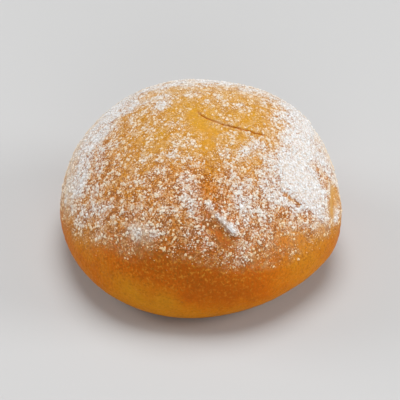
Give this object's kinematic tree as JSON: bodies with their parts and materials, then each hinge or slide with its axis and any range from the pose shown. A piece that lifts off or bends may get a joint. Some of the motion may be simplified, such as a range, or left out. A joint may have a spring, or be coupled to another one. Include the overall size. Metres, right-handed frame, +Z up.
{
  "type": "bread roll",
  "caption": "Round soft bread roll, uncut, with a browned domed crust, low belly, flat foot, soft folds and a thin split on top.",
  "frame": {"origin": "middle of the flat foot, on the surface that the roll stands on", "axes": "+Z up, front of the roll towards -Y, +X to the right seen from the front"},
  "size_m": [0.1, 0.0998, 0.0592],
  "materials": {
    "crust": "satin, golden brown, deeper on the front and paler at the foot",
    "flour": "matt, powdery white"
  },
  "bodies": {
    "root": {"bread_roll": "crust"}
  },
  "joints": []
}
